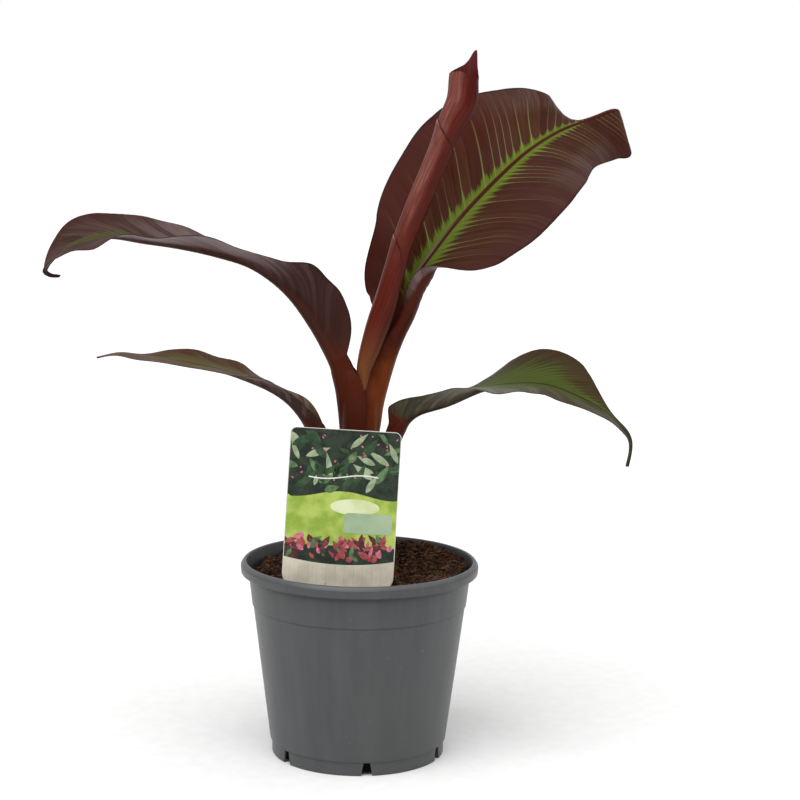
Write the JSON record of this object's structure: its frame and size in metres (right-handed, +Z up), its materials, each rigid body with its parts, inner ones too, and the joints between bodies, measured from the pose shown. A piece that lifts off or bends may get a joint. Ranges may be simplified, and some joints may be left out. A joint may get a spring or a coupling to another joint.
{
  "type": "potted banana plant",
  "caption": "Young red-leaved banana plant in a round nursery pot: short stem, arching and upright leaves, a rolled new leaf and a plain stick-in label.",
  "frame": {"origin": "middle of the pot's flat underside", "axes": "+Z up, +X to the right of the side with the label, -Y towards that side"},
  "size_m": [0.4308, 0.2696, 0.5029],
  "materials": {
    "pot_plastic": "satin moulded grey",
    "soil": "loose dark brown potting soil with fibres",
    "label_card": "printed thin plastic card",
    "stem": "waxy red-brown stem",
    "new_leaf": "waxy red-brown rolled leaf",
    "leaf": "satin maroon leaf with green veins"
  },
  "bodies": {
    "root": {"pot": "pot_plastic", "soil": "soil", "plant_label": "label_card", "pseudostem": "stem", "petiole_left_upper": "stem", "petiole_upright": "stem", "petiole_left_lower": "stem", "petiole_right": "stem", "rolled_leaf": "new_leaf", "blade_left_upper_base": "leaf", "blade_left_upper_tip": "leaf", "blade_left_lower": "leaf", "blade_right_base": "leaf", "blade_right_tip": "leaf", "blade_upright_base": "leaf", "blade_upright_tip": "leaf"}
  },
  "joints": []
}
